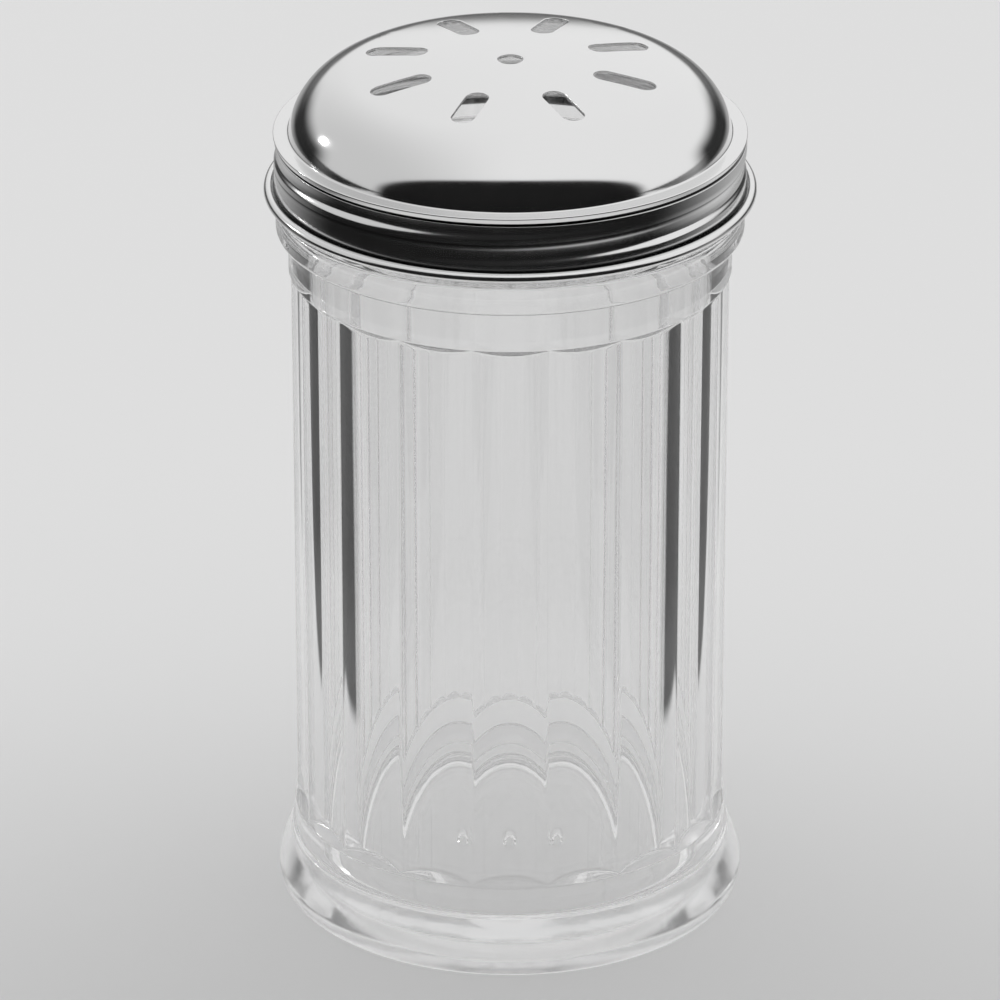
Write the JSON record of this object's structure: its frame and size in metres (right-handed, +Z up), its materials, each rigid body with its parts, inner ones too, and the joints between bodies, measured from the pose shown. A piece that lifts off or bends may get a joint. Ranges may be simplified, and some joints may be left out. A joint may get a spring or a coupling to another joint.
{
  "type": "screw-top shaker dispenser",
  "caption": "Clear fluted jar with a flanged foot and a screw-on domed steel lid, slotted for shaking out spice, cheese or sugar.",
  "frame": {"origin": "middle of the ring that the jar stands on", "axes": "+Z up along the axis of the jar, towards the lid; +Y away from the camera of the picture, +X to its right"},
  "size_m": [0.0726, 0.0726, 0.1334],
  "materials": {
    "jar": "clear moulded polycarbonate, polished inside and out",
    "lid": "pressed stainless steel, polished dome and finely drawn skirt"
  },
  "bodies": {
    "jar": {"jar": "jar"},
    "lid": {"lid": "lid"}
  },
  "joints": [
    {"name": "lid_lift", "type": "slide", "parent": "jar", "child": "lid", "axis": [0, 0, 1], "range_m": [0, 0.05]}
  ]
}
